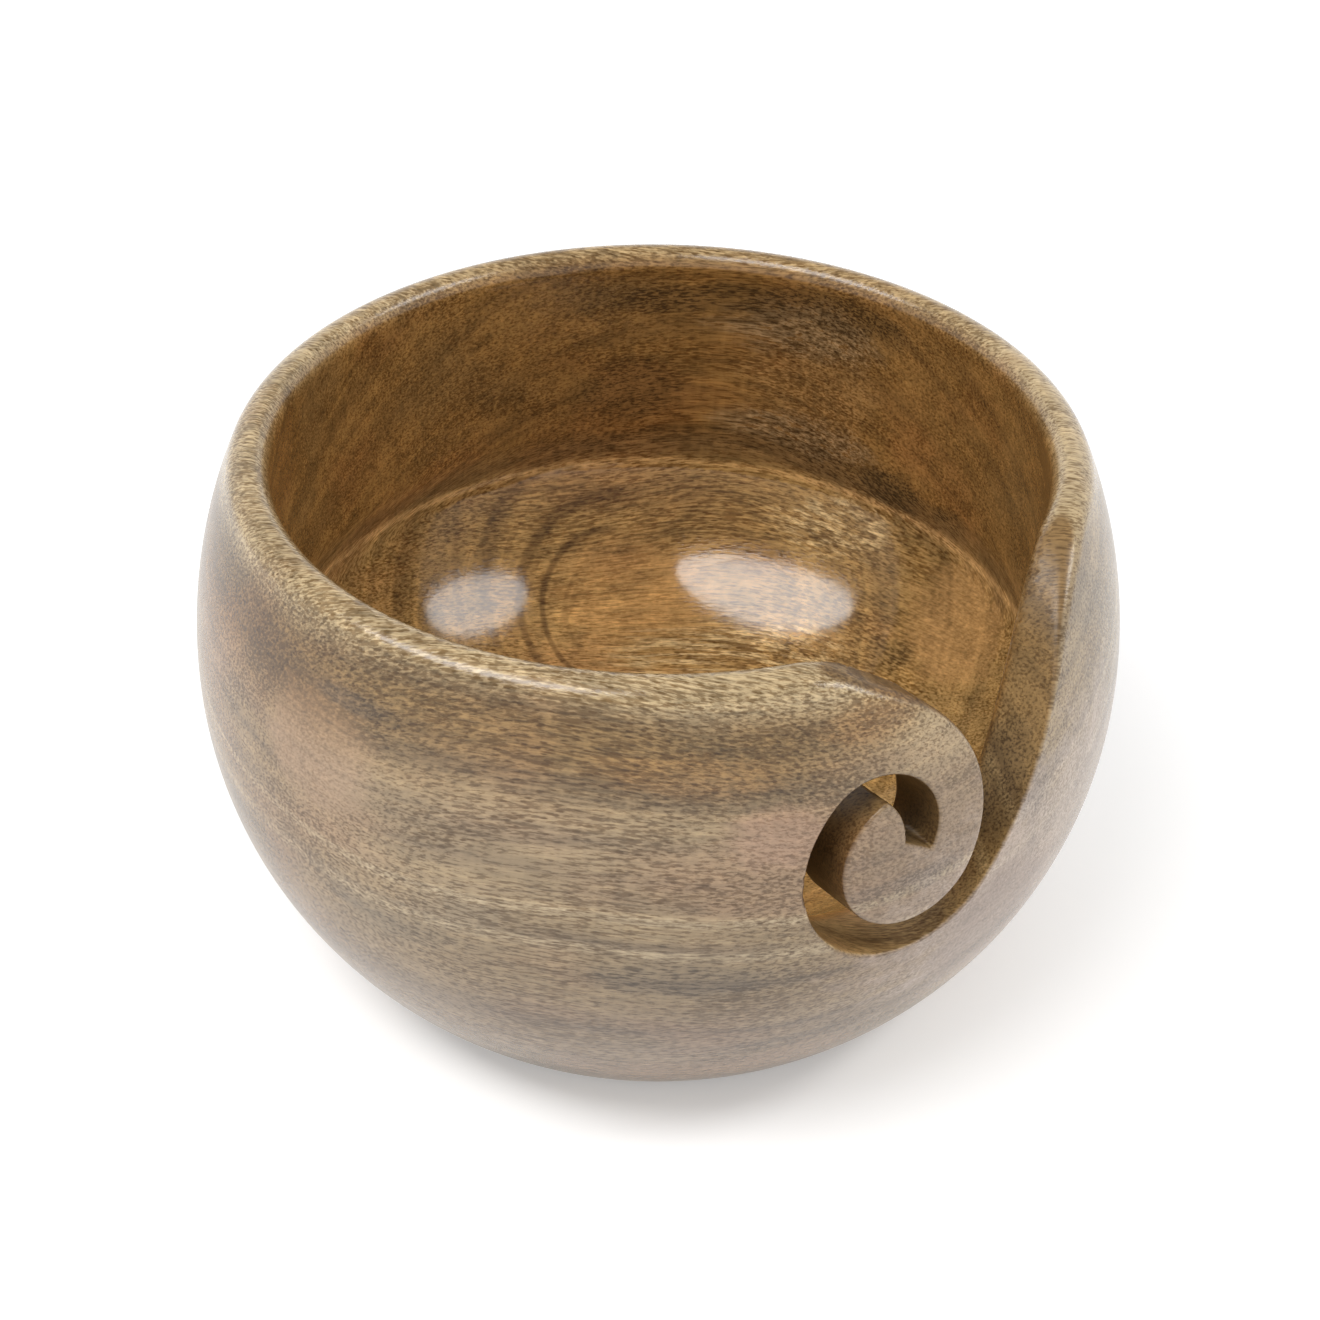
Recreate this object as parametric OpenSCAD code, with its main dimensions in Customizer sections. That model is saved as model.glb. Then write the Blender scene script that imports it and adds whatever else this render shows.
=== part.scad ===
// Yarn bowl: one turned wooden bowl with a scroll-shaped yarn guide sawn through its front wall.
// Origin at the centre of the foot, +Z up, the scroll faces -Y. All sizes are in millimetres.

/* [Bowl outside] */
// Widest diameter, at the belly
bowl_d = 150; // [136:1:176]
// Height from the foot to the top of the rim
bowl_h = 90.5; // [84:0.5:106]
// Height of the widest point above the foot
belly_h = 52.5; // [46:0.5:58]
// Radius of the profile arc from the belly up to the rim
shoulder_r = 85.5; // [74:0.5:120]
// Radius of the profile arc from the belly down towards the foot
flank_r = 71.5; // [64:0.5:72]
// Angle below the belly at which the flank arc runs into the foot round
flank_a = 43.5; // [38:0.5:48]
// Radius of the round between the flank and the foot
foot_round_r = 12.8; // [8:0.1:16]

/* [Rim] */
// Width of the rim, from its outer edge to its inner edge
rim_w = 6.3; // [5:0.1:9]
// Radius of the rim's outer edge
rim_outer_r = 2; // [1:0.1:2.4]
// Radius of the rim's inner edge
rim_inner_r = 1.2; // [0.6:0.1:2]
// Fall of the rim's top towards the inside, in degrees
rim_fall = 17; // [0:1:25]

/* [Bowl inside] */
// Height of the crease where the side wall meets the dished floor
crease_h = 45.5; // [38:0.5:56]
// Thickness of the wall at the crease, measured level
crease_wall = 10.6; // [8:0.1:14]
// Radius of the profile arc of the inner wall between the rim and the crease
inner_wall_r = 500; // [200:10:900]
// Thickness of the wood under the middle of the dished floor
floor_t = 9; // [6:0.5:16]

/* [Scroll] */
// Depth of the scroll's centre below the rim, on the outer face
scroll_drop = 30.5; // [27:0.5:34]
// Tilt of the saw cut, outer end up, so that it stands square to the wall
scroll_pitch = 13; // [6:1:18]
// Radius of the rounded tongue that the scroll winds round
tongue_r = 11.5; // [9.5:0.1:12.5]
// Width of the slot that the yarn runs in
slot_w = 5.6; // [4.6:0.1:6.4]
// Radius of the eye at the slot's inner end
eye_r = 9.5; // [8.6:0.1:10.6]
// Direction in which the eye meets the outside of the slot
eye_join_a = 135; // [126:1:142]
// Direction of the sawn end of the eye
eye_end_a = -30; // [-36:1:-10]
// Radius of the tongue's tip on the side of the eye
tip_r = 9.1; // [8:0.1:10]
// Depth of the tip's centre below the eye's centre
tip_drop = 1.2; // [0.4:0.1:2]
// Radius of the arm's outer edge, from the tongue up to the rim
arm_r = 23; // [20:0.5:26]
// Direction in which the arm's edge leaves the tongue
arm_join_a = -25; // [-32:1:-18]
// Direction in which the arm's edge turns straight and runs out into the rim
arm_top_a = 61; // [56:1:66]
// Radius of the mouth's long edge, opposite the arm
mouth_r = 126; // [90:1:180]
// Direction in which the mouth's edge leaves the slot
mouth_join_a = -37; // [-42:1:-32]
// Radius of the flare at which the mouth's edge opens into the rim
flare_r = 28; // [22:0.5:34]
// Direction in which the mouth's edge turns into the flare
flare_join_a = -21; // [-24:1:-18]
// Direction in which the flare turns straight and runs out into the rim
flare_end_a = 118; // [116:1:126]

/* [Hidden] */
$fn = 144;

function polar(r, a) = [r * cos(a), r * sin(a)];

bowl_r = bowl_d / 2;
over = 1;                                    // how far a cutting tool passes the wood
blend = 0.01;                                // how far a round bites into its neighbour

// Outside profile, [radius, height]
shoulder_c = [bowl_r - shoulder_r, belly_h];
flank_c = [bowl_r - flank_r, belly_h];
foot_round_c = flank_c + polar(flank_r - foot_round_r + blend, -flank_a);

// Rim: a small outer and a small inner edge round with a straight top between them
rim_outer_z = bowl_h - rim_outer_r;
rim_outer_c = [
    shoulder_c.x + sqrt(pow(shoulder_r - rim_outer_r + blend, 2) - pow(rim_outer_z - belly_h, 2)),
    rim_outer_z
];
shoulder_a = atan2(rim_outer_z - belly_h, rim_outer_c.x - shoulder_c.x);
rim_inner_x = rim_outer_c.x + rim_outer_r - rim_w + rim_inner_r;
rim_run = rim_outer_c.x - rim_inner_x;
rim_inner_c = [
    rim_inner_x,
    rim_outer_z - rim_run * tan(rim_fall) + (rim_outer_r - rim_inner_r) / cos(rim_fall)
];
rim_line = rim_outer_c - rim_inner_c;
rim_top_a = atan2(rim_line.y, rim_line.x) + 90 + asin((rim_outer_r - rim_inner_r) / norm(rim_line));

// Inside profile: the wall arc touches the rim's inner round and ends at the crease
crease_outer_c = crease_h > belly_h ? shoulder_c : flank_c;
crease_outer_r = crease_h > belly_h ? shoulder_r : flank_r;
crease_x = crease_outer_c.x
    + sqrt(pow(crease_outer_r, 2) - pow(crease_h - belly_h, 2)) - crease_wall;
crease = [crease_x, crease_h];
wall_span = rim_inner_c - crease;
wall_span_l = norm(wall_span);
// The wall's centre lies inner_wall_r from the crease and one rim round more from the rim's round
wall_far_r = inner_wall_r + rim_inner_r - blend;
wall_along = (pow(inner_wall_r, 2) - pow(wall_far_r, 2) + pow(wall_span_l, 2)) / (2 * wall_span_l);
wall_aside = sqrt(pow(inner_wall_r, 2) - pow(wall_along, 2));
wall_u = wall_span / wall_span_l;
wall_c = crease + wall_along * wall_u + wall_aside * [-wall_u.y, wall_u.x];
rim_wall_a = 180 + atan2(rim_inner_c.y - wall_c.y, rim_inner_c.x - wall_c.x);
floor_rise = crease_h - floor_t;
floor_r = (pow(crease_x, 2) + pow(floor_rise, 2)) / (2 * floor_rise);

// Scroll: every arc touches the next one, so each centre follows from the last centre and two radii.
// Centres are in the plane of the saw cut, from the scroll's centre.
slot_outer_r = tongue_r + slot_w;
eye_c = polar(slot_outer_r - eye_r + blend, eye_join_a);
tip_c = eye_c + [eye_r - slot_w - tip_r, -tip_drop];
arm_c = polar(tongue_r - arm_r - blend, arm_join_a);
arm_top = arm_c + polar(arm_r - blend, arm_top_a);
mouth_c = polar(slot_outer_r - mouth_r - blend, mouth_join_a);
flare_c = mouth_c + polar(mouth_r + flare_r - blend, flare_join_a);
flare_end = flare_c + polar(flare_r - blend, flare_end_a);
scroll_z = bowl_h - scroll_drop - bowl_r * tan(scroll_pitch);
saw_start = bowl_r / 3;                      // clear of the rim at the sides of the mouth
saw_l = (bowl_r + over) / cos(scroll_pitch) + bowl_h * tan(scroll_pitch) - saw_start;
reach = bowl_d;                              // long enough to leave the wood in any direction
lap_a = 5;                                   // overlap between neighbouring stretches of the slot

// ---------------------------------------------------------------- the turned blank

// Part of the plane between two directions from the origin
module wedge(a0, a1, r) {
    polygon(concat([[0, 0]], [for (i = [0:4]) polar(r, a0 + (a1 - a0) * i / 4)]));
}

// Everything inside the outer surface, up to the centres of the rim's rounds
module outside_profile() {
    intersection() {
        translate(shoulder_c) circle(shoulder_r);
        polygon([
            [0, belly_h],
            [bowl_d, belly_h],
            rim_outer_c + polar(bowl_d, shoulder_a),
            rim_outer_c,
            rim_inner_c,
            rim_inner_c + polar(rim_inner_c.x, rim_wall_a),
            [0, bowl_h]
        ]);
    }
    intersection() {
        translate(flank_c) circle(flank_r);
        polygon([
            [0, 0],
            [foot_round_c.x, 0],
            foot_round_c,
            flank_c + polar(bowl_d, -flank_a),
            [bowl_d, belly_h],
            [0, belly_h]
        ]);
    }
    intersection() {
        translate(foot_round_c) circle(foot_round_r);
        square(bowl_d);
    }
}

// The hollow: a slightly bulged wall above the crease and a dished floor below it
module inside_profile() {
    intersection() {
        translate(wall_c) circle(inner_wall_r);
        union() {
            translate([0, floor_t + floor_r]) circle(floor_r);
            translate([0, (crease_h + bowl_h) / 2]) square(bowl_d);
        }
    }
}

// Half section of the bowl, closed at the top by the rounded rim
module bowl_profile() {
    difference() {
        outside_profile();
        inside_profile();
    }
    translate(rim_outer_c) circle(rim_outer_r);
    translate(rim_inner_c) circle(rim_inner_r);
    polygon([
        rim_outer_c,
        rim_outer_c + polar(rim_outer_r - blend, rim_top_a),
        rim_inner_c + polar(rim_inner_r - blend, rim_top_a),
        rim_inner_c
    ]);
}

// ---------------------------------------------------------------- the scroll

// The slot from the eye round the tongue to the foot of the mouth
module winding() {
    difference() {
        union() {
            intersection() {
                circle(slot_outer_r);
                wedge(eye_join_a, 360 + mouth_join_a + lap_a, 2 * slot_outer_r);
            }
            translate(eye_c) circle(eye_r);
        }
        circle(tongue_r);
    }
}

// The part of the eye that is sawn out of the tongue
module eye() {
    difference() {
        intersection() {
            translate(eye_c) circle(eye_r);
            translate(eye_c) wedge(eye_end_a, eye_join_a, 2 * eye_r);
        }
        translate(tip_c) circle(tip_r);
    }
}

// The tongue's right side and the arm above it, which the mouth leaves standing
module arm() {
    run_out = polar(reach, arm_top_a + 90);
    circle(tongue_r);
    translate(arm_c) intersection() {
        circle(arm_r);
        wedge(arm_join_a, arm_top_a + lap_a, 2 * arm_r);
    }
    polygon([arm_c, arm_top, arm_top + run_out, arm_c + run_out]);
}

// The widening way from the rim down to the slot
module mouth() {
    difference() {
        union() {
            translate(mouth_c) intersection() {
                circle(mouth_r);
                wedge(mouth_join_a, flare_join_a + lap_a, 2 * mouth_r);
            }
            polygon([
                mouth_c,
                flare_c,
                flare_end,
                flare_end + polar(reach, flare_end_a - 90),
                mouth_c + [0, reach]
            ]);
        }
        translate(flare_c) circle(flare_r);
        arm();
    }
}

// The saw cut: the scroll's outline carried straight through the front wall
module scroll_cut() {
    translate([0, 0, scroll_z]) rotate([90 - scroll_pitch, 0, 0]) translate([0, 0, saw_start])
        linear_extrude(saw_l) {
            winding();
            eye();
            mouth();
        }
}

module bowl() {
    color("burlywood") difference() {
        rotate_extrude() bowl_profile();
        scroll_cut();
    }
}

bowl();
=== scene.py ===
# A turned wooden yarn bowl with a scroll sawn through its wall, on a white studio table.
import math

import bmesh
import bpy
import numpy as np
from mathutils import Matrix, Vector


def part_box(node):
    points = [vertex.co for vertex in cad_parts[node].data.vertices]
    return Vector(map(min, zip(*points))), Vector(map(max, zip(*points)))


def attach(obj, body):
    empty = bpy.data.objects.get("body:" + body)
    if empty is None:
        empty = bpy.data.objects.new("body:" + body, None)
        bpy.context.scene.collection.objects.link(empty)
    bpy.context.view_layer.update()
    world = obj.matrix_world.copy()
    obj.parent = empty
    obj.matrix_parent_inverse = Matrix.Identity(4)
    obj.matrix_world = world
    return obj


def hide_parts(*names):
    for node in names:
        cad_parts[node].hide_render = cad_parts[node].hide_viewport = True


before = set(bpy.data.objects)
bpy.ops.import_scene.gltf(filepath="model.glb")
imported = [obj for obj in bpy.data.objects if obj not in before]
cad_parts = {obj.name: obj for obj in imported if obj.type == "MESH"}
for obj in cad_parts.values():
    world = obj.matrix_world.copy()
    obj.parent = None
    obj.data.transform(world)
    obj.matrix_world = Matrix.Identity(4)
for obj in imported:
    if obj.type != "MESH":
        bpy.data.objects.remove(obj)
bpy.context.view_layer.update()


# ---------------------------------------------------------------- the bowl and its sawn scroll
# One block of mango wood, turned in a lathe. The scroll is sawn through its wall with a fine blade, and
# its edges are sanded round: lightly in the scroll, broadly where the mouth meets the rim. The bowl is
# lacquered all over.
MM = 0.001


# The shape is a signed distance in millimetres, below zero in the wood, and a mesh is drawn onto it
def towards(degrees):
    """Unit vector in a plane."""
    return np.array([math.cos(math.radians(degrees)), math.sin(math.radians(degrees))])


def apart(points, centre):
    """Distance of each point of a plane from centre."""
    return np.hypot(points[:, 0] - centre[0], points[:, 1] - centre[1])


def past(points, start, degrees):
    """How far each point of a plane lies past start in one direction."""
    return (points - start) @ towards(degrees)


def half_section(points):
    """Points swung round the axis into one plane: how far out and how high each one is."""
    return np.stack([np.hypot(points[:, 0], points[:, 1]), points[:, 2]], 1)


def worn(one, other, radius):
    """Where two surfaces meet: the edge between them, rounded to radius."""
    inner = np.minimum(np.maximum(one, other), -radius)
    return inner + np.hypot(np.maximum(one + radius, 0), np.maximum(other + radius, 0))


# Sizes of the turned section
bowl_low, bowl_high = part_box("bowl")
bowl_r = (bowl_high.x - bowl_low.x) / 2 / MM
bowl_h = bowl_high.z / MM
belly_h = 52.5  # height of the widest ring
shoulder_r = 85.5
flank_r, flank_angle = 71.5, 43.5  # the flank ends that many degrees below level
foot_round_r = 12.8
rim_w, rim_fall = 6.3, 17.0  # the rim's top falls inwards by that many degrees
rim_outer_r, rim_inner_r = 2.0, 1.2
inner_wall_r = 500.0
crease_h, crease_wall, crease_round_r = 45.5, 10.6, 1.0  # the crease is where the wall meets the floor
floor_t = 9.0

# The section's arcs, each of which touches the next
shoulder = np.array([bowl_r - shoulder_r, belly_h])
flank = np.array([bowl_r - flank_r, belly_h])
foot_round = flank + (flank_r - foot_round_r) * towards(-flank_angle)
rim_outer_z = bowl_h - rim_outer_r
rim_reach = math.sqrt((shoulder_r - rim_outer_r) ** 2 - (rim_outer_z - belly_h) ** 2)
rim_outer = np.array([shoulder[0] + rim_reach, rim_outer_z])
shoulder_angle = math.degrees(math.atan2(rim_outer_z - belly_h, rim_reach))
rim_run = rim_w - rim_outer_r - rim_inner_r
rim_drop = rim_run * math.tan(math.radians(rim_fall))
rim_drop -= (rim_outer_r - rim_inner_r) / math.cos(math.radians(rim_fall))
rim_inner = rim_outer - [rim_run, rim_drop]
rim_top_angle = math.degrees(
    math.atan2(rim_drop, rim_run)
    + math.asin((rim_outer_r - rim_inner_r) / math.hypot(rim_run, rim_drop))
) + 90
flank_reach = math.sqrt(flank_r ** 2 - (crease_h - belly_h) ** 2)
crease = np.array([flank[0] + flank_reach - crease_wall, crease_h])
wall_run = rim_inner - crease
wall_long = math.hypot(*wall_run)
wall_far = inner_wall_r + rim_inner_r
wall_along = (inner_wall_r ** 2 - wall_far ** 2 + wall_long ** 2) / (2 * wall_long)
wall_aside = math.sqrt(inner_wall_r ** 2 - wall_along ** 2)
wall_square = np.array([-wall_run[1], wall_run[0]])
inner_wall = crease + (wall_along * wall_run + wall_aside * wall_square) / wall_long
floor_rise = crease_h - floor_t
floor_r = (crease[0] ** 2 + floor_rise ** 2) / (2 * floor_rise)
floor_dish = np.array([0, floor_t + floor_r])


def outside(points):
    """Signed distance to the turned outer surface, down to the flat of the foot."""
    section = half_section(points)
    high = points[:, 2] > belly_h
    form = np.where(high, apart(section, shoulder) - shoulder_r, apart(section, flank) - flank_r)
    low = section - foot_round
    at_foot = (low[:, 0] > 0) & (low[:, 1] < -low[:, 0] * math.tan(math.radians(flank_angle)))
    form = np.where(at_foot, apart(section, foot_round) - foot_round_r, form)
    return np.maximum(form, -points[:, 2])


def hollow(points):
    """Signed distance to the turned hollow: the side wall, the crease and the dished floor."""
    section = half_section(points)
    beside = apart(section, inner_wall) - inner_wall_r
    dished = worn(beside, apart(section, floor_dish) - floor_r, crease_round_r)
    return np.where(points[:, 2] < (crease_h + bowl_h) / 2, dished, beside)


# Sanding rounds the rim's edges further, and its top is lifted so that it keeps nearly all its height
sanded_outer_r, sanded_inner_r = 3.6, 3.0
corner = math.radians(rim_top_angle - shoulder_angle) / 2
rim_lift = math.cos(math.radians(90 - shoulder_angle) - corner) / math.cos(corner) - 1
rim_lift *= sanded_outer_r - rim_outer_r


def turned(points):
    """Signed distance to the turned blank, with its sanded rim."""
    section = half_section(points)
    top = past(section, rim_outer, rim_top_angle) - rim_outer_r - rim_lift
    return worn(worn(outside(points), top, sanded_outer_r), -hollow(points), sanded_inner_r)


# Sizes of the scroll, on a plane square to the saw cut. Its centre is that of the tongue, and angles are
# in degrees from level on the right. A join is where one arc touches the next.
saw_pitch = 13.0  # the cut rises outwards, so that it stands square to the bulging wall
scroll_drop = 30.5  # how far the centre lies below the top of the bowl, at the front
tongue_r, slot_w = 11.5, 5.6
slot_outer_r = tongue_r + slot_w
slot_overlap = 5  # how many degrees the slot round the tongue runs on into the mouth
eye_r, eye_join, eye_end = 9.5, 135, -30
tip_r, tip_drop = 9.1, 1.2
arm_r, arm_join, arm_top = 23.0, -25, 61
mouth_r, mouth_join = 126.0, -37
flare_r, flare_join, flare_end = 28.0, -21, 118
# How much the mouth narrows through the wall: its far side from the centre up, and the arm from higher up
mouth_taper = 0.1
arm_taper, arm_taper_from = 0.26, 22.5

scroll_z = bowl_h - scroll_drop - bowl_r * math.tan(math.radians(saw_pitch))
eye_c = (slot_outer_r - eye_r) * towards(eye_join)
tip_c = eye_c + [eye_r - slot_w - tip_r, -tip_drop]
arm_c = (tongue_r - arm_r) * towards(arm_join)
arm_end = arm_c + arm_r * towards(arm_top)
mouth_c = (slot_outer_r - mouth_r) * towards(mouth_join)
flare_c = mouth_c + (mouth_r + flare_r) * towards(flare_join)
flare_out = flare_c + flare_r * towards(flare_end)


def sawn(points):
    """Signed distance to the sawn-out scroll, and the height up its outline."""
    rise, lean = towards(saw_pitch)
    up = points[:, 2] - scroll_z
    outline = np.stack([points[:, 0], points[:, 1] * lean + up * rise], 1)
    depth = up * lean - points[:, 1] * rise
    off = np.hypot(outline[:, 0], outline[:, 1])
    turn = np.degrees(np.arctan2(outline[:, 1], outline[:, 0])) % 360
    on_winding = (turn > eye_join) & (turn < 360 + mouth_join + slot_overlap)
    winding = np.where(on_winding, abs(off - tongue_r - slot_w / 2) - slot_w / 2, bowl_r)
    tongue = np.maximum(-past(outline, eye_c, eye_end + 90), tip_r - apart(outline, tip_c))
    eye = np.maximum(apart(outline, eye_c) - eye_r, np.minimum(tongue_r - off, tongue))
    below_flare = past(outline, mouth_c, flare_join + 90) < 0
    far_side = np.where(below_flare, apart(outline, mouth_c) - mouth_r, flare_r - apart(outline, flare_c))
    beyond_flare = past(outline, flare_out, flare_end - 90) > 0
    far_side = np.where(beyond_flare, -past(outline, flare_out, flare_end), far_side)
    # The saw was turned a little in the widening mouth, so that it narrows through the wall
    from_outside, from_hollow = outside(points), hollow(points)
    through = np.clip(from_outside / (from_outside - from_hollow), 0, 1)
    through = np.where(from_hollow > 0, through, 1)
    far_side = far_side + mouth_taper * through * np.maximum(outline[:, 1], 0)
    above_tongue = past(outline, arm_c, arm_join + 90) > 0
    arm = np.where(above_tongue, apart(outline, arm_c) - arm_r, off - tongue_r)
    above_arm = past(outline, arm_end, arm_top + 90) > 0
    arm = np.where(above_arm, past(outline, arm_end, arm_top), arm)
    arm = arm - arm_taper * through * np.maximum(outline[:, 1] - arm_taper_from, 0)
    below_mouth = -past(outline, np.zeros(2), mouth_join + 90)
    mouth = np.maximum(np.maximum(far_side, -arm), below_mouth)
    gap = np.minimum(np.minimum(winding, eye), mouth)
    # Only the front wall is sawn
    return np.where(depth > bowl_r / 3, gap, bowl_r), outline[:, 1]


# The sawn edges are rounder at the mouth; between two heights on the outline the one passes into the other
slot_edge_r, slot_edge_top = 0.5, 10.0
mouth_edge_r, mouth_edge_bottom = 2.3, 32.0


def bowl_shape(points):
    """Signed distance to the finished bowl."""
    gap, up = sawn(points)
    share = np.clip((up - slot_edge_top) / (mouth_edge_bottom - slot_edge_top), 0, 1)
    share = share * share * (3 - 2 * share)
    return worn(turned(points), -gap, slot_edge_r + (mouth_edge_r - slot_edge_r) * share)


def facing(points):
    """Gradient of the bowl's distance, which is the direction that its surface faces."""
    step = 0.02
    steps = step * np.eye(3)
    return np.stack([bowl_shape(points + s) - bowl_shape(points - s) for s in steps], 1) / (2 * step)


def settle(points, rounds):
    """Points moved onto the bowl's surface."""
    least_slope = 0.2
    for _ in range(rounds):
        slope = facing(points)
        steepness = np.maximum((slope ** 2).sum(1), least_slope)
        points = points - (bowl_shape(points) / steepness)[:, None] * slope
    return points


def corners(mesh):
    """A mesh's vertices in millimetres."""
    flat = np.empty(len(mesh.vertices) * 3)
    mesh.vertices.foreach_get("co", flat)
    return flat.reshape(-1, 3) / MM


def put_corners(mesh, points):
    """Move a mesh's vertices to points given in millimetres."""
    mesh.vertices.foreach_set("co", (points * MM).ravel())
    mesh.update()


def remeshed(source, size):
    """A new mesh: an object's form as even quads."""
    rough = bpy.data.objects.new("rough", source.data.copy())
    bpy.context.scene.collection.objects.link(rough)
    remesh = rough.modifiers.new("even", "REMESH")
    remesh.mode = "VOXEL"
    remesh.voxel_size = size
    seen = rough.evaluated_get(bpy.context.evaluated_depsgraph_get())
    mesh = bpy.data.meshes.new_from_object(seen)
    bpy.data.objects.remove(rough)
    return mesh


# Even quads are drawn onto the shape, and split twice in narrowing bands along the sawn edges
voxel = 1.3
edge_bands = (2.4, 1.4)
mesh = remeshed(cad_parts["bowl"], voxel * MM)
put_corners(mesh, settle(corners(mesh), 4))
for band in edge_bands:
    points = corners(mesh)
    near_edge = (abs(sawn(points)[0]) < band) & (turned(points) > -band)
    finer = bmesh.new()
    finer.from_mesh(mesh)
    finer.verts.ensure_lookup_table()
    edges = [e for e in finer.edges if near_edge[e.verts[0].index] and near_edge[e.verts[1].index]]
    bmesh.ops.subdivide_edges(finer, edges=edges, cuts=1, use_grid_fill=True)
    # A corner with only two edges is a fold in the surface
    folded = [v for v in finer.verts if len(v.link_edges) == 2]
    bmesh.ops.dissolve_verts(finer, verts=folded)
    finer.to_mesh(mesh)
    finer.free()
    put_corners(mesh, settle(corners(mesh), 3))

# Each vertex is drawn towards the middle of its neighbours, along the surface
evening_rounds = 5
pairs = np.empty(len(mesh.edges) * 2, int)
mesh.edges.foreach_get("vertices", pairs)
pairs = pairs.reshape(-1, 2)
neighbours = np.bincount(pairs.ravel(), minlength=len(mesh.vertices))
points = corners(mesh)
for _ in range(evening_rounds):
    around = np.stack([
        np.bincount(pairs[:, 0], points[pairs[:, 1], k], len(points))
        + np.bincount(pairs[:, 1], points[pairs[:, 0], k], len(points))
        for k in range(3)
    ], 1) / neighbours[:, None]
    points = settle((points + around) / 2, 1)
points = settle(points, 3)
put_corners(mesh, points)

mesh.name = "bowl_wood"
mesh.shade_smooth()
normals = facing(points)
normals /= np.linalg.norm(normals, axis=1)[:, None]
mesh.normals_split_custom_set_from_vertices(normals.tolist())

# How far each point belongs to a sawn face, and to the hollow, with soft borders
face_blend, hollow_blend = 0.3, 0.8
gap, _ = sawn(points)
masks = {
    "sawn": 0.5 + (-gap - turned(points)) / (2 * face_blend),
    "hollow": 0.5 - (hollow(points) - hollow_blend) / (2 * hollow_blend),
}
for name, mask in masks.items():
    mesh.attributes.new(name, "FLOAT", "POINT").data.foreach_set("value", np.clip(mask, 0, 1))


# The wood: mango, a pale tan heart with grey-brown layers, short dark pores that run with the fibres, and
# grey stains. The hollow is a deeper orange-brown than the outside, partly the wood under its lacquer and
# partly painted shade.
class Wire:
    """One output of a shader node; arithmetic on it adds Math nodes. Without a socket it starts a tree."""

    def __init__(self, tree, socket=None):
        self.tree, self.socket = tree, socket

    def node(self, kind, settings, sockets, output=0):
        """The output of a new node of any kind: its settings are made first, then its sockets."""
        made = self.tree.nodes.new(kind)
        for name, value in settings.items():
            if name == "stops":
                # A new ramp has two stops, and the others are added between them
                for at, colour in value[1:-1]:
                    made.color_ramp.elements.new(at)
                for stop, (at, colour) in zip(made.color_ramp.elements, value):
                    stop.position, stop.color = at, (*colour, 1)
            else:
                setattr(made, name, value)
        for name, value in sockets.items():
            if isinstance(value, Wire):
                self.tree.links.new(value.socket, made.inputs[name])
            else:
                made.inputs[name].default_value = value
        return Wire(self.tree, made.outputs[output])

    def feed(self, shader, name):
        """Link this output to one of a shader's sockets."""
        self.tree.links.new(self.socket, shader.inputs[name])

    def maths(self, operation, *others):
        return self.node("ShaderNodeMath", {"operation": operation}, dict(enumerate((self, *others))))

    def __add__(self, other):
        return self.maths("ADD", other)

    def __sub__(self, other):
        return self.maths("SUBTRACT", other)

    def __mul__(self, other):
        return self.maths("MULTIPLY", other)

    def __truediv__(self, other):
        return self.maths("DIVIDE", other)

    def __rsub__(self, other):
        return (self * -1).maths("ADD", other)

    __radd__, __rmul__ = __add__, __mul__

    def capped(self):
        """This value, or 1 where it is more."""
        return self.maths("MINIMUM", 1.0)

    def hypot(self, other):
        """Distance from the centre of a point this far along and other across."""
        return (self * self + other * other).maths("SQRT")

    def ease(self, low, high):
        """A smooth step: 0 at low, 1 at high."""
        sockets = {"Value": self, "From Min": low, "From Max": high}
        return self.node("ShaderNodeMapRange", {"interpolation_type": "SMOOTHSTEP"}, sockets)

    def line(self, edge, core):
        """A line where this value is zero: 1 within core of it, fading to 0 at edge on both sides."""
        return self.maths("ABSOLUTE").ease(edge, core)

    def vector(self, operation, *others, output=0):
        sockets = dict(enumerate((self, *others)))
        return self.node("ShaderNodeVectorMath", {"operation": operation}, sockets, output)

    def scaled(self, factor):
        return self.node("ShaderNodeVectorMath", {"operation": "SCALE"}, {0: self, "Scale": factor})

    def along(self, direction):
        """How far this vector reaches in one direction."""
        return self.vector("DOT_PRODUCT", tuple(direction), output=1)

    def length(self):
        return self.vector("LENGTH", output=1)

    def join(self, y, z):
        """The vector of this value, y and z."""
        return self.node("ShaderNodeCombineXYZ", {}, {0: self, 1: y, 2: z})

    def noise(self, detail=2.0, roughness=0.5, output=0):
        """Noise about one unit long at the place that this vector gives."""
        sockets = {"Vector": self, "Scale": 1.0, "Detail": detail, "Roughness": roughness}
        return self.node("ShaderNodeTexNoise", {}, sockets, output)

    def ramp(self, *stops):
        """A colour for each value, by stops in rising order; two at one value make a sharp change."""
        return self.node("ShaderNodeValToRGB", {"stops": stops}, {"Fac": self})

    def blend(self, other, share, kind="MIX"):
        """This colour with another one, a wire or red, green and blue, laid over it."""
        if not isinstance(other, Wire):
            other = (*other, 1)
        # A Mix node's sockets for colour are 6 and 7, and its output for colour is 2
        settings = {"data_type": "RGBA", "blend_type": kind}
        return self.node("ShaderNodeMix", settings, {0: share, 6: self, 7: other}, 2)

    def layered(self, layers, kind="MIX"):
        """This colour with others laid over it in turn, each with its own share."""
        colour = self
        for other, share in layers:
            colour = colour.blend(other, share, kind)
        return colour


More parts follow.
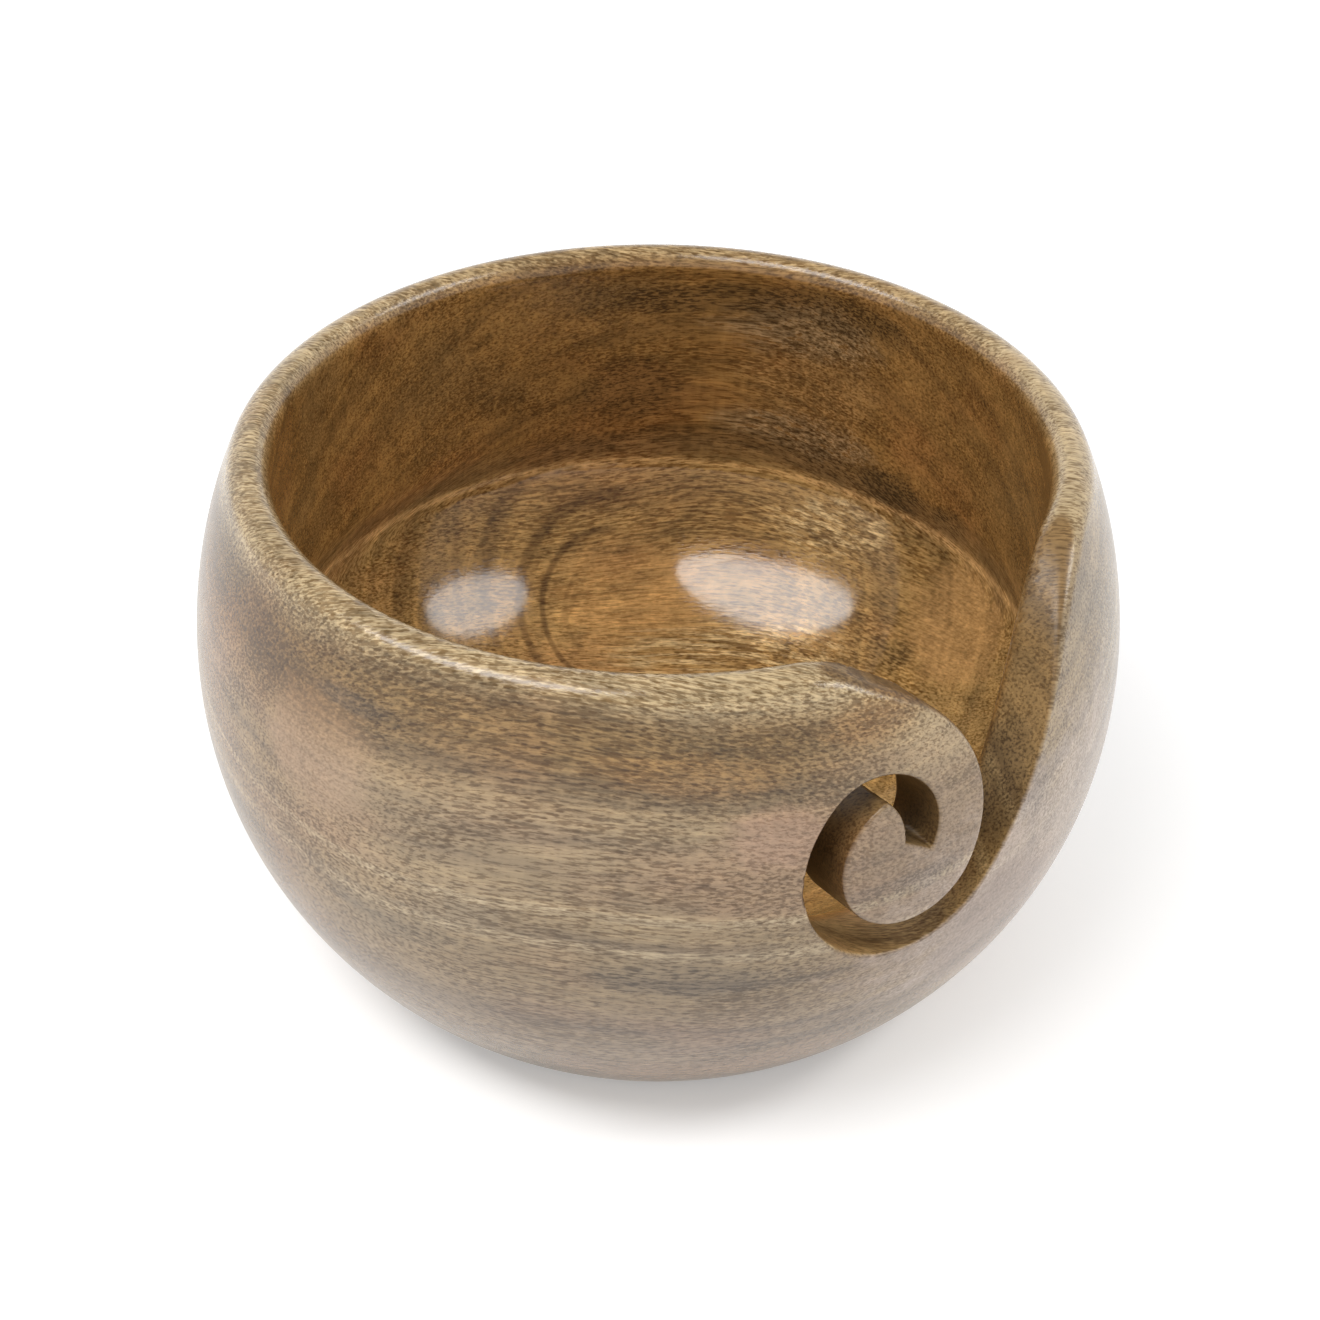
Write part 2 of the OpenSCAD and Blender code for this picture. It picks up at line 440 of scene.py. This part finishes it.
wood = bpy.data.materials.new("mango_wood")
wood.use_nodes = True
shader = wood.node_tree.nodes["Principled BSDF"]
nodes = Wire(wood.node_tree)
spot = nodes.node("ShaderNodeTexCoord", {}, {}, "Object").scaled(1 / MM)
sawn_face = nodes.node("ShaderNodeAttribute", {"attribute_name": "sawn"}, {}, "Fac")
inside = nodes.node("ShaderNodeAttribute", {"attribute_name": "hollow"}, {}, "Fac")
outer = 1 - inside
unsawn = 1 - sawn_face

# The log: its fibres run nearly level, from the back left to the front right, its pith lay above the bowl,
# and its layers curve up towards the back. Fibres wander a little, and growth rings less than they do.
fibres = Vector((0.788, -0.616, -0.05)).normalized()
athwart = Vector((0.616, 0.788, 0.0))
upwards = (0.0, 0.0, 1.0)
pith_side, pith_high = -70.0, 204.0
wander_long, wander_far, ring_wander = 45.0, 7.0, 0.25
wander = spot.scaled(1 / wander_long).noise(0.0, output=1).vector("SUBTRACT", (0.5, 0.5, 0.5))
strayed = spot.vector("ADD", wander.scaled(wander_far))
length = strayed.along(fibres)
side = strayed.along(athwart)
high = strayed.along(upwards)
straight_side = spot.along(athwart)
out_side = straight_side - pith_side + (side - straight_side) * ring_wander
ring = out_side.hypot(pith_high - high)
floor_swing = 0.008  # how strongly the fibres bend round on the floor
on_floor = inside * high.ease(crease_h + 6.5, crease_h - 3.5)
on_wall = inside * (1 - on_floor)
swung = side + length * length * on_floor * floor_swing


def strands(long, wide):
    """Places among the fibres, squeezed so that one unit is long by wide by wide millimetres."""
    return (length / long).join(swung / wide, high / wide)


def growth(long, wide, thick):
    """Places among the growth rings, squeezed so that one unit is long by wide by thick millimetres."""
    return (length / long).join(side / wide, ring / thick)


ragged_edge = strands(9.0, 4.0).noise(3.0, 0.65)


def place(centre, reach):
    """A mask round a place in the log, given along the fibres, athwart and up, with a ragged edge."""
    raggedness = 0.9
    off = [(axis - middle) / far for axis, middle, far in zip((length, side, high), centre, reach)]
    return (off[0].join(off[1], off[2]).length() + (ragged_edge - 0.5) * raggedness).ease(1.15, 0.55)


# Pale and dark layers, with ruddy and drab stretches, and the fine lines within them
pale, mid, deep = (0.47, 0.335, 0.175), (0.40, 0.28, 0.145), (0.27, 0.19, 0.105)
ruddy, drab = (0.45, 0.28, 0.15), (0.31, 0.24, 0.15)
ground = growth(70.0, 90.0, 4.2).noise(3.0, 0.6).ramp((0.30, deep), (0.60, pale), (0.60, mid))
tint = strands(38.0, 20.0).noise(2.0, 0.5)
ground = ground.blend(ruddy, tint.ease(0.50, 0.68) * 0.6)
ground = ground.blend(drab, tint.ease(0.46, 0.30) * 0.5)
fine_line = growth(45.0, 30.0, 1.1).noise(3.0, 0.6)

# Fine streaks along the fibres, and rays that stand towards the pith
streak = strands(12.0, 0.45).noise(3.0, 0.65)
ray = (length / 0.9).join(side / 0.6, high / 8.0).noise(1.0)
mottle = strands(9.0, 3.0).noise(3.0, 0.65)
shade = (streak - 0.5) * 1.3 + (ray - 0.5) * 0.5 + (fine_line - 0.5) * 0.9 + (mottle - 0.5) * inside * 1.1

# Pores: short brown dashes where the surface runs with the fibres, dots on the end grain. They crowd
# together in stretches, most of all on the shoulder.
shoulder_band = high.ease(68.0, 80.0) * outer * length.ease(46.0, 22.0)
crowd = strands(26.0, 9.0).noise(2.0, 0.55) + shoulder_band * 0.15
dash = strands(2.7, 0.38).noise(3.0, 0.62)
dash = (dash - (crowd - 0.5) * 0.25).ease(0.57, 0.38)
cell = nodes.node("ShaderNodeTexVoronoi", {}, {"Vector": strands(1.9, 0.6), "Scale": 1.0})
dot = cell.ease(0.42, 0.12) * crowd.ease(0.38, 0.60)
pore = (dash * 0.8 + dot * 0.7).capped()

# Grey stains: where each one lies, how far it reaches and how strong it is
stains = (
    ((12.0, 60.0, 82.0), (48.0, 16.0, 4.5), 0.9),
    ((10.0, 58.0, 49.5), (50.0, 16.0, 3.5), 0.6),
    ((-17.0, 61.0, 61.0), (13.0, 10.0, 8.0), 0.7),
    ((31.0, 56.0, 50.0), (8.0, 7.0, 5.0), 0.9),
    ((44.0, 46.0, 49.0), (6.0, 6.0, 4.0), 0.9),
    ((39.0, 32.0, 29.0), (5.0, 4.0, 4.0), 0.7),
    ((13.0, -73.0, 44.0), (17.0, 9.0, 4.5), 0.65),
    ((44.0, -60.0, 57.0), (15.0, 9.0, 2.2), 0.5),
    ((57.0, -36.0, 57.0), (7.0, 9.0, 11.0), 0.8),
    ((-20.0, -60.0, 46.0), (22.0, 16.0, 2.2), 0.5),
    ((-38.0, -62.0, 80.0), (8.0, 8.0, 1.6), 0.5),
)
stain = 0
for centre, reach, strength in stains:
    stain = place(centre, reach) * strength + stain
stain = stain.capped()

# Dark arcs on the floor, where the turning cut through the growth rings round one point: each arc's radius,
# how wide it is and how dark
arcs_along, arcs_side = -16.0, 43.0
growth_arcs = (
    (12.3, 0.9, 0.9),
    (16.6, 1.3, 0.8),
    (23.0, 1.5, 0.5),
    (28.5, 1.2, 0.4),
    (8.0, 0.8, 0.3),
)
from_point = (length - arcs_along).hypot(side - arcs_side)
arcs = 0
for radius, wide, dark in growth_arcs:
    arcs = (from_point - radius).line(wide, wide * 0.2) * dark + arcs
arcs = arcs * on_floor * length.ease(-12.0, -22.0) * (0.4 + streak)

# Plain patches with few pores, and pink and rosy wood round the scroll
plain = place((-42.0, -60.0, 71.0), (11.0, 15.0, 11.0)) + place((48.0, 32.0, 37.0), (14.0, 15.0, 9.0))
plain = plain.capped()
pink = place((26.0, -69.0, 69.0), (11.0, 9.0, 5.5))
rosy = place((50.0, -56.0, 54.0), (24.0, 22.0, 24.0)) * outer * unsawn

# Toasted wood under the rim, and two growth rings that show as bright lines on the outside
upper_ring, lower_ring = 148.5, 154.8
toasted = place((37.0, -58.0, 84.0), (11.0, 8.0, 4.5)) + place((12.0, -70.0, 78.0), (17.0, 9.0, 4.0)) * 0.6
bright = (ring - lower_ring).line(1.6, 0.3) + (ring - upper_ring).line(1.3, 0.2)
bright = bright * outer * streak.ease(0.35, 0.6)

# In the hollow, banded and faded stretches of the wall, and warm and straw-coloured wood on the floor
banding = strands(16.0, 1.0).noise(3.0, 0.6)
banded = banding.ramp((0.36, (0.13, 0.10, 0.07)), (0.60, (0.62, 0.54, 0.46)), (0.60, (0.38, 0.28, 0.18)))
middle = place((14.0, 61.0, 77.0), (19.0, 12.0, 7.0)) + place((12.0, 61.0, 54.0), (17.0, 12.0, 5.0))
faded = place((14.0, 61.0, 65.0), (15.0, 12.0, 9.0)) * 0.35
faded = faded + place((-55.0, -29.0, 66.0), (22.0, 26.0, 18.0)) * 0.35
warm = place((-12.0, 46.0, 28.0), (17.0, 12.0, 11.0)) * on_floor
straw = place((24.0, 55.0, 39.0), (17.0, 7.0, 7.0)) + place((12.0, 38.0, 20.0), (28.0, 7.0, 9.0))

# Painted sheen, as of the white table in the lacquer: the outside is paler low down, most of all at the
# right. The top of the rim is paler too.
painted_sheen = place((60.0, -30.0, 42.0), (34.0, 48.0, 26.0)) * 0.6 + high.ease(44.0, 28.0) * 0.15
painted_sheen = (painted_sheen * outer * unsawn).capped()
near_rim = high.ease(84.0, 88.5)
rim_top = near_rim + place((50.0, -50.0, 80.0), (15.0, 17.0, 8.0)) * 0.7
rim_top = rim_top.capped() * outer * unsawn

# The turned crease shows as a pale line, with a dark one a little above it
above_crease = spot.along(upwards) - crease_h
crease_line = above_crease.line(0.9, 0.2) * inside
crease_shade = (above_crease - 2.2).line(1.8, 0.3) * inside

# All of these lie over the ground, and the stains, arcs and crease over them
colour = ground.layered((
    ((0.46, 0.31, 0.18), plain * 0.8),
    ((0.46, 0.285, 0.175), pink * 0.7),
    ((0.34, 0.225, 0.135), rosy * 0.65),
    ((0.55, 0.33, 0.135), toasted * (0.3 + streak * 0.7)),
    ((0.60, 0.46, 0.27), bright * 0.8),
    (banded, middle.capped() * inside * 0.9),
    ((0.60, 0.47, 0.33), faded * inside * (0.3 + streak * 1.2)),
    ((0.49, 0.30, 0.15), warm * 0.4),
    ((0.80, 0.68, 0.50), straw * on_floor * banding.ease(0.44, 0.60) * 0.8),
    ((0.62, 0.49, 0.38), painted_sheen),
    ((0.72, 0.54, 0.28), rim_top * 0.5),
))
# The shoulder just under the rim is darkened, partly the wood's own tone and partly painted shade
colour = colour.blend((0.72, 0.62, 0.44), shoulder_band * high.ease(89.0, 83.0), "MULTIPLY")
colour = colour.layered((
    ((0.115, 0.092, 0.068), stain * (0.15 + streak * 0.6 + dash * 0.5)),
    ((0.10, 0.055, 0.025), arcs * 0.75),
    ((0.70, 0.50, 0.29), crease_line * 0.65),
    ((0.14, 0.095, 0.05), crease_shade * streak * 0.7),
))

# Streaks, rays and lines make it lighter and darker, and pores darken it, less so where it is plain
contrast = 0.7 + inside * 0.35 + shoulder_band * 0.4
colour = colour.node("ShaderNodeHueSaturation", {}, {"Value": 1 + shade * contrast, "Color": colour})
pore_share = pore * (1 - 0.6 * plain) * (1 - 0.3 * pink)
pore_share = pore_share * (1 - painted_sheen * 0.5) * (1 - warm * 0.3) * (1 - rosy * 0.35)
colour = colour.blend((0.29, 0.22, 0.14), pore_share * 0.9, "MULTIPLY")

# Each face, and each stretch of it, is made deeper or paler. The hollow is deeper orange-brown than the
# outside, its walls deeper still, which is painted shade, and its floor paler low down, a painted pool of
# light. The left wall is painted lighter and the right wall darker, and the low flank, the left flank and a
# patch low at the right are painted shade. Under the lacquer the outside, the back of the rim and the sawn
# faces have tones of their own, and the sawn faces are paler high up, which is painted shade lower down.
shaded_low_flank = outer * high.ease(60.0, 26.0) * length.ease(58.0, 20.0)
shaded_left_flank = outer * length.ease(-30.0, -52.0) * high.ease(86.0, 80.0)
shaded_low_right = place((60.0, -47.0, 37.0), (15.0, 17.0, 15.0))
back_rim = near_rim * side.ease(30.0, 60.0)
lit_left_wall, shaded_right_wall = on_wall * length.ease(-24.0, -52.0), on_wall * length.ease(30.0, 52.0)
colour = colour.layered((
    ((0.79, 0.59, 0.34), on_wall),
    ((0.98, 0.81, 0.52), on_floor),
    ((1.20, 1.20, 1.20), on_floor * high.ease(38.0, 26.0)),
    ((0.89, 0.91, 0.99), outer),
    ((0.78, 0.76, 0.76), shaded_low_flank),
    ((0.92, 0.87, 0.83), shaded_left_flank),
    ((0.74, 0.72, 0.72), shaded_low_right),
    ((0.90, 0.82, 0.70), back_rim),
    ((1.12, 1.14, 1.14), lit_left_wall),
    ((0.87, 0.87, 0.86), shaded_right_wall),
    ((0.68, 0.56, 0.37), sawn_face),
    ((1.25, 1.30, 1.38), sawn_face * high.ease(80.0, 62.0)),
), "MULTIPLY")

# Painted shade in the tight turns of the scroll: their sawn faces are darker, more towards the hollow,
# and the ledge that faces up is painted light.
turned_up = nodes.node("ShaderNodeTexCoord", {}, {}, "Normal").along(upwards).ease(0.15, 0.75)
saw_cos, saw_sin = (float(part) for part in towards(saw_pitch))
up_scroll = spot.along((0.0, saw_sin, saw_cos)) - scroll_z * saw_cos
in_scroll = spot.along((1.0, 0.0, 0.0)).hypot(up_scroll).ease(slot_outer_r + 1.4, slot_outer_r + 0.4)
painted_scroll_shade = in_scroll * (1 - turned_up) * sawn_face
deep_in = spot.along((0.0, 1.0, 0.0)).ease(-72.0, -64.0)
ledge = in_scroll * turned_up * sawn_face * high.ease(58.0, 50.0)
colour = colour.layered((
    ((0.60, 0.55, 0.50), painted_scroll_shade),
    ((0.40, 0.33, 0.26), painted_scroll_shade * deep_in),
    ((2.00, 2.10, 2.20), ledge),
), "MULTIPLY")
colour.feed(shader, "Base Color")

# The lacquer is glossiest low in the hollow and dullest on the sawn faces, and it dips a little over pores
dip = 0.1 * MM
roughness = 0.22 - high.ease(60.0, 46.0) * inside * 0.15 + sawn_face * 0.17 - high.ease(84.0, 88.0) * 0.05
roughness.feed(shader, "Roughness")
dents = pore * -0.4 * (1 - inside * 0.75)
bump = nodes.node("ShaderNodeBump", {}, {"Height": dents, "Distance": dip, "Strength": 0.3})
bump.feed(shader, "Normal")

bowl = bpy.data.objects.new("bowl_wood", mesh)
bpy.context.scene.collection.objects.link(bowl)
mesh.materials.clear()
mesh.materials.append(wood)
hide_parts("bowl")
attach(bowl, "root")


# ---------------------------------------------------------------- the table
# A flat sheet of white paper. To the camera it glows a little, and more further out, until it is as white
# as the studio behind it; near the bowl the lamps light it, so that it keeps the bowl's shadow.
def ray_kinds(nodes):
    """Masks of the rays that come from the camera, off a shiny surface and through glass."""
    kinds = ("Is Camera Ray", "Is Glossy Ray", "Is Transmission Ray")
    return [nodes.node("ShaderNodeLightPath", {}, {}, kind) for kind in kinds]


half = 3.0
near_glow, more_glow = 0.26, 0.30
glow_from, glow_to = 0.15, 0.60  # distances from the bowl's middle, in metres
sheet = bpy.data.meshes.new("table")
sheet_corners = [(-half, -half, 0), (half, -half, 0), (half, half, 0), (-half, half, 0)]
sheet.from_pydata(sheet_corners, [], [(0, 1, 2, 3)])
table = bpy.data.objects.new("table", sheet)
bpy.context.scene.collection.objects.link(table)
paper = bpy.data.materials.new("white_sweep")
paper.use_nodes = True
shader = paper.node_tree.nodes["Principled BSDF"]
shader.inputs["Base Color"].default_value = (0.9, 0.9, 0.9, 1)
shader.inputs["Roughness"].default_value = 0.9
shader.inputs["Specular IOR Level"].default_value = 0
shader.inputs["Emission Strength"].default_value = 1
nodes = Wire(paper.node_tree)
seen, mirrored, through_glass = ray_kinds(nodes)
shown = (seen + mirrored + through_glass).capped()
far_off = nodes.node("ShaderNodeTexCoord", {}, {}, "Object").length().ease(glow_from, glow_to)
glow = shown * (near_glow + far_off * more_glow)
glow.join(glow, glow).feed(shader, "Emission Color")
sheet.materials.append(paper)


# ---------------------------------------------------------------- the studio
# The room round the table. It is white to the camera, also through glass, and lights everything evenly.
# Its ceiling is darker in reflections, so that the softboxes stand out in the lacquer.
room_light = 0.65
ceiling_dark = 0.8
world = bpy.data.worlds.new("studio")
bpy.context.scene.world = world
world.use_nodes = True
background = world.node_tree.nodes["Background"]
nodes = Wire(world.node_tree)
seen, mirrored, through_glass = ray_kinds(nodes)
white = seen.maths("MAXIMUM", through_glass)
height = nodes.node("ShaderNodeTexCoord", {}, {}, "Generated").along(upwards)
ceiling = 1.0 - height.ease(0.15, 0.75) * ceiling_dark
strength = white + (1 - white) * (mirrored * ceiling + (1 - mirrored) * room_light)
background.inputs["Color"].default_value = (1, 1, 1, 1)
strength.feed(background, "Strength")


# ---------------------------------------------------------------- the lamps
# Two oval softboxes on stands, a long one to the left of the bowl and a smaller one to its right. Each one
# shows as a bright patch in the lacquer on the floor of the hollow.
def stand(thing, at, aim, roll):
    """Stand a lamp or the camera at a place, facing aim and rolled about its own axis."""
    turn = (aim - at).to_track_quat("-Z", "Y").to_matrix() @ Matrix.Rotation(math.radians(roll), 3, "Z")
    thing.matrix_world = Matrix.Translation(at) @ turn.to_4x4()
    bpy.context.scene.collection.objects.link(thing)


def softbox(name, azimuth, elevation, size, power, roll, aim):
    """An oval lamp, seen from its aim at an azimuth and an elevation."""
    lamp_far = 0.9
    lamp = bpy.data.lights.new(name, "AREA")
    lamp.shape = "ELLIPSE"
    lamp.size, lamp.size_y = size
    lamp.energy = power
    a, e = math.radians(azimuth), math.radians(elevation)
    aim = Vector(aim)
    at = aim + lamp_far * Vector((math.cos(a) * math.cos(e), math.sin(a) * math.cos(e), math.sin(e)))
    stand(bpy.data.objects.new(name, lamp), at, aim, roll)


softbox("long_softbox", -174.5, 56, (0.79, 0.26), 4.7, 23, (0.039, 0.029, 0.029))
softbox("short_softbox", -36.9, 43.9, (0.466, 0.203), 1.7, -33, (-0.010, 0.050, 0.030))


# ---------------------------------------------------------------- the camera
# It stands about 40 cm from the bowl, at its front left, and looks down over the rim into the hollow. Its
# sensor is 36 mm wide, and its lens is a little longer than a normal one.
lens = bpy.data.cameras.new("camera")
lens.sensor_width = 36
lens.lens = 62.7
camera = bpy.data.objects.new("camera", lens)
camera_at, camera_aim, camera_roll = (-0.15207, -0.26878, 0.27618), (0.0003, -0.0002, 0.0458), 0.79
stand(camera, Vector(camera_at), Vector(camera_aim), camera_roll)
bpy.context.scene.camera = camera

bpy.context.scene.view_settings.view_transform = "Standard"
